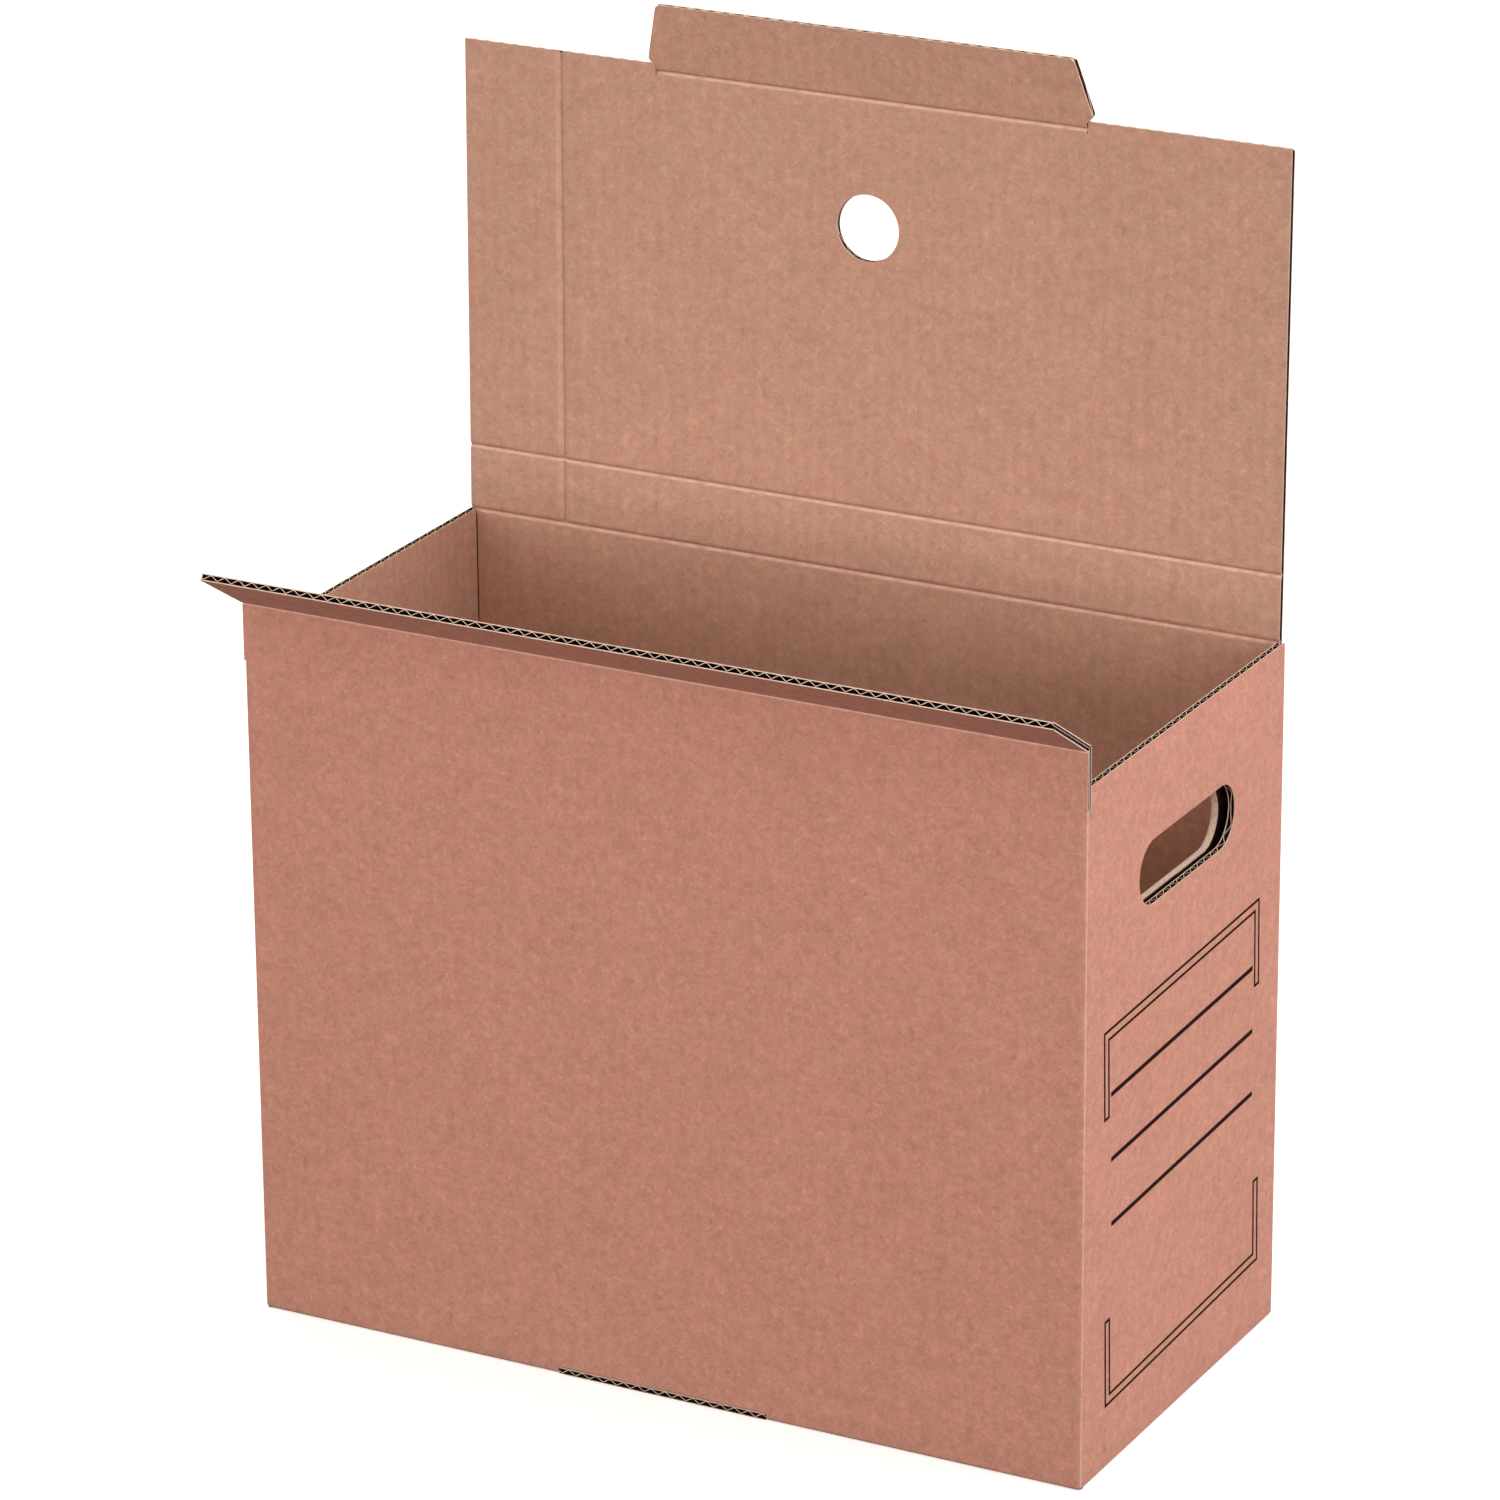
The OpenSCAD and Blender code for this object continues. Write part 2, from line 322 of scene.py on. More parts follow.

# %% [markdown]
# ## The painted shade inside, the cut edge and the ink
# Between the liners the light hardly reaches, so the wavy paper and every face that looks into the
# hollows get a near-black paper: painted shade. A knife leaves the edge of each liner pale and slightly
# furry. The ink is a matt black that has sunk in.

# %% Painted shade inside, cut edges and ink
def plain_paper(name, dark, pale, roughness, scale):
    """Paper or ink that is seen only in thin strips: two colours mixed by a fine noise"""
    shader = Shader(name)
    where = shader.node("ShaderNodeTexCoord", {}, {}, output=3)
    share = shader.stretched(shader.noise(where, scale, 3.0), 0.3, 0.7)
    return shader.matt(shader.blend_colours(share, (*dark, 1), (*pale, 1)), roughness, 0.05)


# Painted shade: a near-black paper for the hollows between the liners
hollow_paper = plain_paper("hollow_paper", (0.022, 0.010, 0.007), (0.040, 0.019, 0.013), 0.95, 500)
cut_edge = plain_paper("cut_edge", (0.68, 0.47, 0.36), (0.92, 0.72, 0.60), 0.9, 900)
ink = plain_paper("ink", (0.010, 0.004, 0.003), (0.024, 0.008, 0.006), 0.9, 1500)
PAPERS = [outer_kraft, inner_kraft, hollow_paper, cut_edge]
OUTER, INNER, INSIDE, EDGE = range(4)
print("slots of every board:", [paper.name for paper in PAPERS])

# %% [markdown]
# ## Working by hand, in code
# By hand, one selects something and runs an operator on it. In code the same steps need small helpers.
# One opens edit mode with vertices, edges or faces selected by a test on their places, and the others
# place, join, turn, cut, paint or delete what is selected.

# %% Helpers for selecting and editing
def only(piece):
    """Selects one object, so that an operator acts on nothing else"""
    bpy.ops.object.select_all(action="DESELECT")
    piece.select_set(True)
    bpy.context.view_layer.objects.active = piece


@contextmanager
def editing(piece, chosen=None, kind="VERT"):
    """Edit mode with the chosen elements selected, or with all of them"""
    only(piece)
    mesh = piece.data
    parts = {"VERT": mesh.vertices, "EDGE": mesh.edges, "FACE": mesh.polygons}
    bpy.context.tool_settings.mesh_select_mode = [kind == name for name in parts]
    for name, elements in parts.items():
        nothing = np.zeros(len(elements), bool)
        elements.foreach_set("select", chosen if name == kind and chosen is not None else nothing)
    bpy.ops.object.mode_set(mode="EDIT")
    if chosen is None:
        bpy.ops.mesh.select_all(action="SELECT")
    yield
    bpy.ops.object.mode_set(mode="OBJECT")


def rows_of(elements, name):
    """What every vertex or face says under a name, one row each"""
    found = np.empty(len(elements) * 3, np.float32)
    elements.foreach_get(name, found)
    return found.reshape(-1, 3)


def places(piece):
    """Where the vertices are"""
    return rows_of(piece.data.vertices, "co")


def centres(piece):
    """Where the middles of the faces are"""
    return rows_of(piece.data.polygons, "center")


def settle(piece, turned, at):
    """Turns an object, moves it and writes both into its mesh, with its scale"""
    only(piece)
    piece.rotation_euler = turned
    piece.location = at
    bpy.ops.object.transform_apply(location=True, rotation=True, scale=True)


def join(pieces, name):
    """Makes one object of several, with the slots of the first"""
    bpy.ops.object.select_all(action="DESELECT")
    for piece in pieces:
        piece.select_set(True)
    bpy.context.view_layer.objects.active = pieces[0]
    bpy.ops.object.join()
    bpy.context.object.name = name
    return bpy.context.object


def turn(degrees, axis, centre):
    """Turns the selection about an axis. With no window the operator turns the other way."""
    bpy.ops.transform.rotate(value=-math.radians(degrees), orient_axis=axis, center_override=centre)


def score(piece, across, along=()):
    """Adds a line of vertices over the whole sheet at each X in across and each Z in along"""
    with editing(piece):
        for normal, values in (((1, 0, 0), across), ((0, 0, 1), along)):
            for value in values:
                bpy.ops.mesh.select_all(action="SELECT")
                bpy.ops.mesh.bisect(plane_co=[value * n for n in normal], plane_no=normal, threshold=TINY)


def trim_off(piece, point, normal):
    """Cuts the sheet along a plane and drops what lies on the side that the normal points to"""
    with editing(piece):
        bpy.ops.mesh.bisect(plane_co=point, plane_no=normal, clear_outer=True, threshold=TINY)


def paint(piece, slot):
    """Gives every face of a piece the material in one slot"""
    faces = piece.data.polygons
    faces.foreach_set("material_index", np.full(len(faces), slot, np.int32))


def papered(piece, name, slot):
    """Names a piece and gives it the board's four materials, with every face in one slot"""
    piece.name = name
    for material in PAPERS:
        piece.data.materials.append(material)
    paint(piece, slot)
    return piece


def cut_out(piece, dropped):
    """Deletes the faces that are chosen by their places"""
    with editing(piece, dropped, "FACE"):
        bpy.ops.mesh.delete(type="FACE")


print("helpers ready: only, editing, settle, join, turn, score, trim_off, papered, cut_out")

# %% [markdown]
# ## One sheet of corrugated board
# Board is made of three papers, so each panel starts as three flat grids that stand in X and Z: the
# outer liner, the inner liner and, between them, a grid with eight columns to each flute. Moving the
# columns of equal phase in or out, one phase at a time, makes the wave. It stops a hair short of the
# board's ends, because it leans and grows sideways when it is thickened. The papers have no thickness
# yet, because thin sheets are easier to cut, press and fold.

# %% Three papers of a board
WAVE = (0, 0.53, 1, 0.53, 0, -0.53, -1, -0.53)
CELL = PITCH / len(WAVE)
SWING = HALF - LINER - FLUTED_PAPER / 2


def flat_grid(name, span, depth, cells, paper):
    """A flat grid that stands at Y = depth, from left to right and from low to high"""
    left, right_side, low, high = span
    bpy.ops.mesh.primitive_grid_add(x_subdivisions=cells[0], y_subdivisions=cells[1], size=1)
    piece = bpy.context.object
    piece.scale = (right_side - left, high - low, 1)
    settle(piece, (math.pi / 2, 0, 0), ((left + right_side) / 2, depth, (low + high) / 2))
    return papered(piece, name, paper)


def papers_of(name, span, out=-1, spacing=14 * MM, rows=None):
    """The outer liner, inner liner and fluted paper of a board whose outer face looks along out * Y"""
    left, right_side, low, high = span
    rows = rows or max(2, round((high - low) / spacing))
    columns = max(2, round((right_side - left) / spacing))
    outer = flat_grid(name + "_outer", span, out * HALF, (columns, rows), OUTER)
    inner = flat_grid(name + "_inner", span, -out * HALF, (columns, rows), INNER)
    first, last = math.floor(left / CELL), math.ceil(right_side / CELL)
    wide = (first * CELL, last * CELL, low, high)
    fluted = flat_grid(name + "_fluted", wide, 0, (last - first, max(2, rows // 2)), INSIDE)
    phase = np.round(places(fluted)[:, 0] / CELL).astype(int) % len(WAVE)
    for step, height in enumerate(WAVE):
        if height:
            with editing(fluted, phase == step):
                bpy.ops.transform.translate(value=(0, height * SWING, 0))
    trim_off(fluted, (right_side - FLUTED_PAPER, 0, 0), (1, 0, 0))
    trim_off(fluted, (left + FLUTED_PAPER, 0, 0), (-1, 0, 0))
    with editing(inner if out < 0 else outer):
        bpy.ops.mesh.flip_normals()
    return outer, inner, fluted


print(f"a flute has {len(WAVE)} columns of {CELL / MM:.3f} mm and swings {SWING / MM:.3f} mm each way")

# %% [markdown]
# ## Giving the papers their thickness
# When a panel has its shape, Solidify thickens each paper inwards and paints two things by itself:
# the side that looks into the hollows gets the dark paper of painted shade, and the rim gets the pale
# cut edge. The three papers are then joined, because they are glued together on the real sheet.

# %% Thickness and joining
SHARP_ANGLE = math.radians(38)


def keep_flat_map(papers):
    """Writes each sheet's own flat coordinates, in metres, into its UV map"""
    for sheet in papers:
        mesh = sheet.data
        corners = np.empty(len(mesh.loops), np.int32)
        mesh.loops.foreach_get("vertex_index", corners)
        flat_spots = places(sheet)[corners][:, [0, 2]]
        layer = mesh.uv_layers[0] if mesh.uv_layers else mesh.uv_layers.new()
        layer.name = FLAT_MAP
        layer.data.foreach_set("uv", flat_spots.ravel())


def thicken(sheet, thickness, back, rim, offset=-1):
    """Turns a sheet with no thickness into paper, with the slots of its back and its rim"""
    modifier = sheet.modifiers.new("paper", "SOLIDIFY")
    modifier.thickness = thickness
    modifier.offset = offset
    modifier.material_offset = back
    modifier.material_offset_rim = rim
    only(sheet)
    bpy.ops.object.modifier_apply(modifier=modifier.name)


def thicken_papers(papers):
    """Liners grow inwards from their faces, and the fluted paper to one side of its wave"""
    outer, inner, fluted = papers
    thicken(outer, LINER, INSIDE - OUTER, EDGE - OUTER)
    thicken(inner, LINER, INSIDE - INNER, EDGE - INNER)
    thicken(fluted, FLUTED_PAPER, 0, EDGE - INSIDE)


def glue(papers, name):
    """Joins the papers into one board"""
    board = join(papers, name)
    bpy.ops.object.shade_smooth_by_angle(angle=SHARP_ANGLE)
    triangles = sum(len(face.vertices) - 2 for face in board.data.polygons)
    print(f"{name}: {triangles} triangles")
    return board


print(f"a liner gets {LINER / MM:g} mm and the fluted paper {FLUTED_PAPER / MM:g} mm")

# %% [markdown]
# ## Creases
# A crease is pressed into the inner liner before the sheet is folded. The press leaves a narrow groove.
# Its lower slope looks up into the light, its upper slope looks down, and that is why each crease shows
# as a dark line over a pale one; the pale line is helped by a painted highlight just below the crease's
# line. The table below is the groove: how far from the crease's line, in millimetres, and what share of
# the board's thickness is left there.

# %% The groove of a crease
GROOVE = {-2.0: 1.0, -1.5: 0.955, -1.0: 0.88, -0.5: 0.77, 0.0: 0.62,
          0.5: 0.80, 1.0: 0.93, 1.5: 0.98, 2.0: 1.0}


def press(papers, line, out, axis=2, rows=GROOVE, within=(-9, 9), tolerance=0.12 * MM):
    """Presses a groove along a line of the sheet, at Z (or X) = line, into the inner side"""
    for sheet in papers[1:]:
        for offset, share in rows.items():
            spots = places(sheet)
            near = np.abs(spots[:, axis] - line - offset * MM) < tolerance
            near &= (spots[:, 2 - axis] > within[0]) & (spots[:, 2 - axis] < within[1])
            if share < 1 and near.any():
                with editing(sheet, near):
                    bpy.ops.transform.resize(value=(1, share, 1), center_override=(0, out * HALF, 0))


def crush(papers, edge, depth, share, inner=0):
    """Crushes the upper edge of flat papers against their inner liner, as a blunt die does"""
    for sheet in papers:
        score(sheet, (), (edge - depth,))
        near_edge = places(sheet)[:, 2] > edge - depth + TINY
        with editing(sheet, near_edge):
            bpy.ops.transform.resize(value=(1, share, 1), center_override=(0, inner, 0))


def mark_wear_and_highlight(sheet, marked):
    """Writes how pale each vertex is painted, from 0 to 1: broken fibres at the folds, and a painted
    highlight on the creases and the embossed line
    """
    layer = sheet.data.attributes.new(WEAR_AND_HIGHLIGHT, "FLOAT", "POINT")
    layer.data.foreach_set("value", marked.astype(np.float32))


print(f"deepest point of a groove: {(1 - min(GROOVE.values())) * BOARD / MM:.2f} mm")

# %% [markdown]
# ## The walls: a flat blank
# The four walls are one strip of board. It lies flat along X with the front wall already in place:
# the right wall follows on its right, and the left and back walls on its left. The tops differ, so the
# blank is cut in steps, and a slit parts the front wall's raised top from its neighbours.

# %% Stations along the blank
CORNER_R = 1.8 * MM
FOLD_STEPS = 6
FOLD_ANGLE = 90 / FOLD_STEPS
FOOT_RISE = 0.4 * MM
SLIT_DEPTH, SLIT_WIDTH = 9.5 * MM, 1.1 * MM
PINCH_REACH = 1.6 * MM
PINCH = 0.36

fold_angles = [FOLD_ANGLE / 2] + [FOLD_ANGLE] * (FOLD_STEPS - 1) + [FOLD_ANGLE / 2]
heading = [sum(fold_angles[:step + 1]) for step in range(FOLD_STEPS)]
SEGMENT = CORNER_R / sum(math.cos(math.radians(angle)) for angle in heading)
ARC = SEGMENT * FOLD_STEPS
front_end = HALF_W - CORNER_R
side_start = front_end + ARC
side_end = side_start + 2 * (HALF_D - CORNER_R)
back_start = side_end + ARC
back_end = back_start + 2 * (HALF_W - CORNER_R)
blank_left = -(back_end + ARC)
SLIT_Z = SIDE_TOP - SLIT_DEPTH
SLIT_END = front_end + ARC + SLIT_WIDTH
BACK_TOP = SIDE_TOP - TRIM
print(f"the blank is {(side_end - blank_left) / MM:.1f} mm long, with corners of {ARC / MM:.2f} mm")

# %% [markdown]
# ## The walls: cutting
# Each corner gets seven lines, about which it is folded later, and a line at each end of the part that
# is pressed. The fluted paper stops a hair short at the free ends, as the boards' own ends do.

# %% Cut the blank
walls = papers_of("walls", (blank_left, side_end, FOOT_RISE, FRONT_TOP), spacing=13 * MM)
fold_starts = [(front_end, 1), (-front_end, -1), (-side_end, -1), (-back_end, -1)]
hinges = {}
for start, side in fold_starts:
    hinges[start] = [start + side * step * SEGMENT for step in range(FOLD_STEPS + 1)]
scored = [x for lines in hinges.values() for x in lines]
scored += [start - side * PINCH_REACH for start, side in fold_starts]
scored += [start + side * (ARC + PINCH_REACH) for start, side in fold_starts]
scored += [SLIT_END, -SLIT_END]
for sheet in walls:
    free_end = HALF_W if sheet is not walls[2] else HALF_W - FLUTED_PAPER
    score(sheet, scored + [free_end, -free_end], [SLIT_Z, BACK_TOP, SIDE_TOP])
    middle = centres(sheet)
    x, z = middle[:, 0], middle[:, 2]
    beyond_slit = np.abs(x) > free_end
    low_back = (x < -side_end) & (z > BACK_TOP)
    in_slit = beyond_slit & (np.abs(x) < SLIT_END) & (z > SLIT_Z)
    cut_out(sheet, (beyond_slit & (z > SIDE_TOP)) | low_back | in_slit)
keep_flat_map(walls)
print("faces left in the three papers:", [len(sheet.data.polygons) for sheet in walls])

# %% [markdown]
# ## The walls: pressing and folding
# Each corner is first pressed to about a third of its thickness, as a creasing wheel does, and then
# folded in small turns about lines on the outer liner, the farthest line first. The vertices' flat
# places are kept in an attribute, because after a fold their places no longer say where on the sheet
# they are. The raised ends of the front wall stay flat, so they are split off and parked a metre up
# while the corners turn. The fifth line of each corner is the one whose fibres break.

# %% Fold the walls
PARKED = 1.0
WORN_LINE = 4


def flat_x(sheet):
    """The X that each vertex had in the flat blank"""
    kept = np.empty(len(sheet.data.vertices), np.float32)
    sheet.data.attributes["flat_x"].data.foreach_get("value", kept)
    return kept


for sheet in walls:
    x, z = np.abs(centres(sheet)[:, 0]), centres(sheet)[:, 2]
    with editing(sheet, (x > front_end) & (x < HALF_W) & (z > SLIT_Z), "FACE"):
        bpy.ops.mesh.split()
        bpy.ops.transform.translate(value=(0, 0, PARKED))
    with editing(sheet):
        bpy.ops.transform.translate(value=(0, HALF - HALF_D, 0))
    kept = sheet.data.attributes.new("flat_x", "FLOAT", "POINT")
    kept.data.foreach_set("value", places(sheet)[:, 0].copy())
    turned_part = places(sheet)[:, 2] < PARKED
    if sheet is walls[0]:
        marked = np.zeros(len(turned_part), bool)
        for start, side in fold_starts:
            marked |= np.abs(flat_x(sheet) - start - side * SEGMENT * WORN_LINE) < SEGMENT / 2
        mark_wear_and_highlight(sheet, marked & turned_part)
    else:
        reach = PINCH_REACH if sheet is walls[2] else TINY
        for start, side in fold_starts:
            past = side * (flat_x(sheet) - start)
            with editing(sheet, (past > -reach) & (past < ARC + reach) & turned_part):
                bpy.ops.transform.resize(value=(1, PINCH, 1), center_override=(0, -HALF_D, 0))
    for start, side in reversed(fold_starts):
        for line, angle in reversed(list(zip(hinges[start], fold_angles))):
            with editing(sheet, (side * (flat_x(sheet) - line) > TINY) & turned_part):
                turn(side * angle, "Z", (line, -HALF_D, 0))
    with editing(sheet, places(sheet)[:, 2] > PARKED):
        bpy.ops.transform.translate(value=(0, 0, -PARKED))
    with editing(sheet):
        bpy.ops.mesh.remove_doubles(threshold=5 * TINY)
    print(sheet.name, "now spans", [round(float(v) / MM, 2) for v in np.ptp(places(sheet), axis=0)], "mm")

# %% [markdown]
# ## The walls: the foot
# At the foot the outer liner rolls under the board. The bottom ring of vertices is extruded inwards
# and its outer edge is bevelled, which gives the soft, round lower edge that catches a line of light.

# %% Roll the outer liner under
FOOT_ROUND = 1.8 * MM
OUTER_RING = 2 * MM

outer_wall = walls[0]
ring = places(outer_wall)[:, 2] < FOOT_RISE + TINY
inward = ((HALF_W - BOARD) / HALF_W, (HALF_D - BOARD) / HALF_D, 1)
with editing(outer_wall, ring):
    bpy.ops.transform.translate(value=(0, 0, -FOOT_RISE))
    bpy.ops.mesh.extrude_region_move()
    bpy.ops.transform.resize(value=inward, center_override=(0, 0, 0))
spots = np.abs(places(outer_wall))
outermost = (spots[:, 0] > HALF_W - OUTER_RING) | (spots[:, 1] > HALF_D - OUTER_RING)
foot = (spots[:, 2] < TINY) & outermost
with editing(outer_wall, foot):
    bpy.ops.mesh.bevel(offset=FOOT_ROUND, segments=4, affect="EDGES")
print("foot vertices:", int(foot.sum()))

# %% [markdown]
# ## Holes
# The hand hole and the notch for the bottom's tongue are cut with Boolean. The cutter carries the same
# four slots as the board and all its faces use the last one, so every cut gets the pale edge by itself.
# The hand hole's cutter is a cube whose four long edges are bevelled until its ends are round.

# %% Cutters
grip_low, grip_high = frame["record"]["physics"]["openings"][1]["box_m"]
GRIP_Z = (grip_low[2] + grip_high[2]) / 2
GRIP_SIZE = (91 * MM, 27.5 * MM)
NOTCH_HALF = 48.5 * MM
NOTCH_TOP = 3.4 * MM
NOTCH_DEPTH = BOARD + 0.2 * MM


def block(name, low, high):
    """A cutter: a cube between two corners, with the slots of the board"""
    middle = [(a + b) / 2 for a, b in zip(low, high)]
    bpy.ops.mesh.primitive_cube_add(size=1, location=middle, scale=[b - a for a, b in zip(low, high)])
    return as_cutter(bpy.context.object, name)


def as_cutter(piece, name):
    """Gives a shape that was just added the board's slots, with every face on the cut edge"""
    bpy.ops.object.transform_apply(location=True, rotation=True, scale=True)
    return papered(piece, name, EDGE)


def cut_away(sheets, cutter):
    """Takes the cutter out of each sheet, then throws it away"""
    for sheet in sheets:
        modifier = sheet.modifiers.new("cut", "BOOLEAN")
        modifier.operation = "DIFFERENCE"
        modifier.solver = "MANIFOLD"
        modifier.object = cutter
        only(sheet)
        bpy.ops.object.modifier_apply(modifier=modifier.name)
        print(f"cut {cutter.name} out of {sheet.name}: {len(sheet.data.polygons)} faces left")
    bpy.data.objects.remove(cutter)


def hand_hole(x_low, x_high, drop=0):
    """The cutter of the hand hole: a bar along X with round ends"""
    half_long, half_high = GRIP_SIZE[0] / 2, GRIP_SIZE[1] / 2
    low = (x_low, -half_long, GRIP_Z - drop - half_high)
    cutter = block("hand_hole", low, (x_high, half_long, GRIP_Z - drop + half_high))
    x = places(cutter)[:, 0]
    long_edges = [abs(x[edge.vertices[0]] - x[edge.vertices[1]]) > TINY for edge in cutter.data.edges]
    with editing(cutter, np.array(long_edges), "EDGE"):
        bpy.ops.mesh.bevel(offset=half_high - TINY, segments=12, affect="EDGES")
    paint(cutter, EDGE)
    return cutter


print(f"hand hole {GRIP_SIZE[0] / MM:g} x {GRIP_SIZE[1] / MM:g} mm, {GRIP_Z / MM:.1f} mm up")

# %% [markdown]
# ## The walls: thickness and holes
# The folded papers get their thickness, then the notch and the hand hole, and are glued together.

# %% Thicken, cut and glue the walls
thicken_papers(walls)
notch_low = (-NOTCH_HALF, -HALF_D - MM, -MM)
cut_away(walls, block("notch", notch_low, (NOTCH_HALF, -HALF_D + NOTCH_DEPTH, NOTCH_TOP)))
cut_away(walls, hand_hole(HALF_W - 2 * BOARD, HALF_W + 2 * BOARD))
box_walls = glue(walls, "box_walls")

# %% [markdown]
# ## The second layer behind the hand hole
# Behind the right wall stands a loose second layer with the same hole, which doubles the grip. It is a
# plain straight board, so it is made flat and then turned a quarter turn into its place. The cutting
# die has crushed the rim of its hole, so its flutes don't show: a short pale sleeve closes them. Its
# face looks into a narrow gap where hardly any light comes, so it is painted with the near-black paper
# of the hollows: painted shade.

# %% Inner panel
PANEL_X = 181 * MM
PANEL_SPAN = (-90.4 * MM, 91 * MM, 3 * MM, 293 * MM)
HOLE_DROP = 2.3 * MM
CUT_INSIDE, CUT_OUTSIDE = 5 * MM, 4 * MM
SLEEVE = 0.6 * MM
SLEEVE_START = 0.65 * MM

panel = papers_of("inner_panel", PANEL_SPAN)
keep_flat_map(panel)
# Painted shade: the panel's outer face gets the near-black paper of the hollows
paint(panel[0], INSIDE)
for sheet in panel:
    settle(sheet, (0, 0, math.pi / 2), (PANEL_X, 0, 0))
thicken(panel[0], LINER, 0, EDGE - INSIDE)
thicken(panel[1], LINER, INSIDE - INNER, EDGE - INNER)
thicken(panel[2], FLUTED_PAPER, 0, EDGE - INSIDE)
cut_away(panel, hand_hole(PANEL_X - CUT_INSIDE, PANEL_X + CUT_OUTSIDE, HOLE_DROP))
crushed = hand_hole(PANEL_X - HALF + SLEEVE_START, PANEL_X + HALF, HOLE_DROP)
cut_out(crushed, np.array([len(face.vertices) > 4 for face in crushed.data.polygons]))
with editing(crushed):
    bpy.ops.mesh.flip_normals()
thicken(crushed, SLEEVE, 0, 0, offset=0)
crushed.data.uv_layers.remove(crushed.data.uv_layers[0])
inner_panel = glue(list(panel) + [crushed], "inner_panel")

# %% [markdown]
# ## The bottom
# The bottom is a board that lies on the floor, with a tongue that reaches through the notch in the
# front wall. It is made standing and laid down with a quarter turn, its flutes running front to back.
# That is why the tongue shows a row of open flutes in the notch. Down in the box less light reaches the
# inner paper than on the lid, so the walls and the bottom get a paler, browner copy of it: painted light.

# %% Bottom
TONGUE_HALF = 48.1 * MM
TONGUE_ROOT = HALF_D - BOARD - 0.8 * MM
BOTTOM_HALF = 186.2 * MM
BOTTOM_BACK = 91 * MM
LIFTED = 0.05 * MM

bottom = papers_of("bottom", (-BOTTOM_HALF, BOTTOM_HALF, -BOTTOM_BACK, HALF_D), spacing=20 * MM)
for sheet in bottom:
    score(sheet, (-TONGUE_HALF, TONGUE_HALF), (TONGUE_ROOT,))
    middle = centres(sheet)
    cut_out(sheet, (np.abs(middle[:, 0]) > TONGUE_HALF) & (middle[:, 2] > TONGUE_ROOT))
keep_flat_map(bottom)
for sheet in bottom:
    settle(sheet, (math.pi / 2, 0, 0), (0, 0, HALF + LIFTED))
thicken_papers(bottom)
box_bottom = glue(bottom, "box_bottom")
for board in (box_walls, inner_panel, box_bottom):
    # Painted light: the inside of the box gets the paler copy of the inner paper
    board.data.materials[INNER] = pale_kraft
print("paper inside the box:", pale_kraft.name)

# %% [markdown]
# ## The moving panels
# The strip, the lid, the tab and the flap are boards as well. Each is made flat above the line of its
# crease, where Z is 0, and shaped there. Then it is leaned back or forward and lifted to the crease.
# All four stop 2 mm short of their creases, because the crease itself is a separate, bending piece.

# %% Helpers for the moving panels
LID_LEFT, LID_RIGHT = -189.5 * MM, 188 * MM
LEAN_STRIP, LEAN_LID, LEAN_TAB, LEAN_FLAP = -0.8, -0.8, 12.2, 58.0
STRIP_H = (crease_at["lid_panel_fold"] - crease_at["lid_fold"]).length
TAB_CREASE_H = (crease_at["tab_fold"] - crease_at["lid_panel_fold"]).length
EMBOSS_X = -143.8 * MM
EMBOSS = {-3.6: 0.98, -3.0: 0.93, -2.4: 0.87, -1.8: 0.80, -1.2: 0.73, -0.6: 0.67,
          0.0: 0.61, 0.6: 0.745, 1.2: 0.87, 1.8: 0.96}
# How strong the painted highlight on the embossed line's gentle slope is, and where it lies
BAND_HIGHLIGHT = 0.32
BAND_SPAN = (-2.7 * MM, -0.3 * MM)
SEAL = 0.15 * MM


def lean_over(papers, degrees, crease):
    """Leans flat papers about the X axis and lifts them to their crease"""
    for sheet in papers:
        settle(sheet, (math.radians(degrees), 0, 0), crease_at[crease])


def emboss(papers, within=(-9, 9)):
    """Presses the upright line into the inner side, gently on its left and steeply on its right"""
    for sheet in papers:
        score(sheet, [EMBOSS_X + offset * MM for offset in EMBOSS])
    press(papers, EMBOSS_X, 1, axis=0, rows=EMBOSS, within=within)


def painted_highlight_band(sheet):
    """Paints a pale highlight on the gentle slope of the embossed line, the slope that faces the light from
    the right
    """
    x = places(sheet)[:, 0] - EMBOSS_X
    mark_wear_and_highlight(sheet, BAND_HIGHLIGHT * ((x > BAND_SPAN[0]) & (x < BAND_SPAN[1])))


def end_seal(x, low, high):
    """A thin strip of painted shade, in the hollows' near-black paper, that closes a flute just inside a
    free edge
    """
    size = (SEAL, BOARD - 2.2 * LINER, high - low)
    bpy.ops.mesh.primitive_cube_add(size=1, location=(x, 0, (low + high) / 2), scale=size)
    seal = as_cutter(bpy.context.object, "end_seal")
    # Painted shade: the seal gets the near-black paper of the hollows
    paint(seal, INSIDE)
    seal.data.uv_layers[0].name = FLAT_MAP
    return seal


print("lid, strip, tab and flap lean by", LEAN_LID, LEAN_STRIP, LEAN_TAB, LEAN_FLAP, "degrees")

# %% [markdown]
# ## The strip
# The narrow panel between the two creases has the same embossed line as the lid above it.

# %% Strip
strip = papers_of("lid_strip", (LID_LEFT, LID_RIGHT, TRIM, STRIP_H - TRIM), out=1, spacing=8 * MM)
emboss(strip)
keep_flat_map(strip)
# A painted highlight on the gentle slope of the embossed line
painted_highlight_band(strip[1])
lean_over(strip, LEAN_STRIP, "lid_fold")
thicken_papers(strip)
lid_strip = glue(strip, "lid_strip_board")
# Painted light: the strip gets the paler copy of the inner paper
lid_strip.data.materials[INNER] = pale_kraft

# %% [markdown]
# ## The flap
# The flap is a plain board. A thin strip just inside each of its free ends closes the last flute, so
# that nothing is seen through the board from the side; it has the near-black paper of the hollows, as
# painted shade.

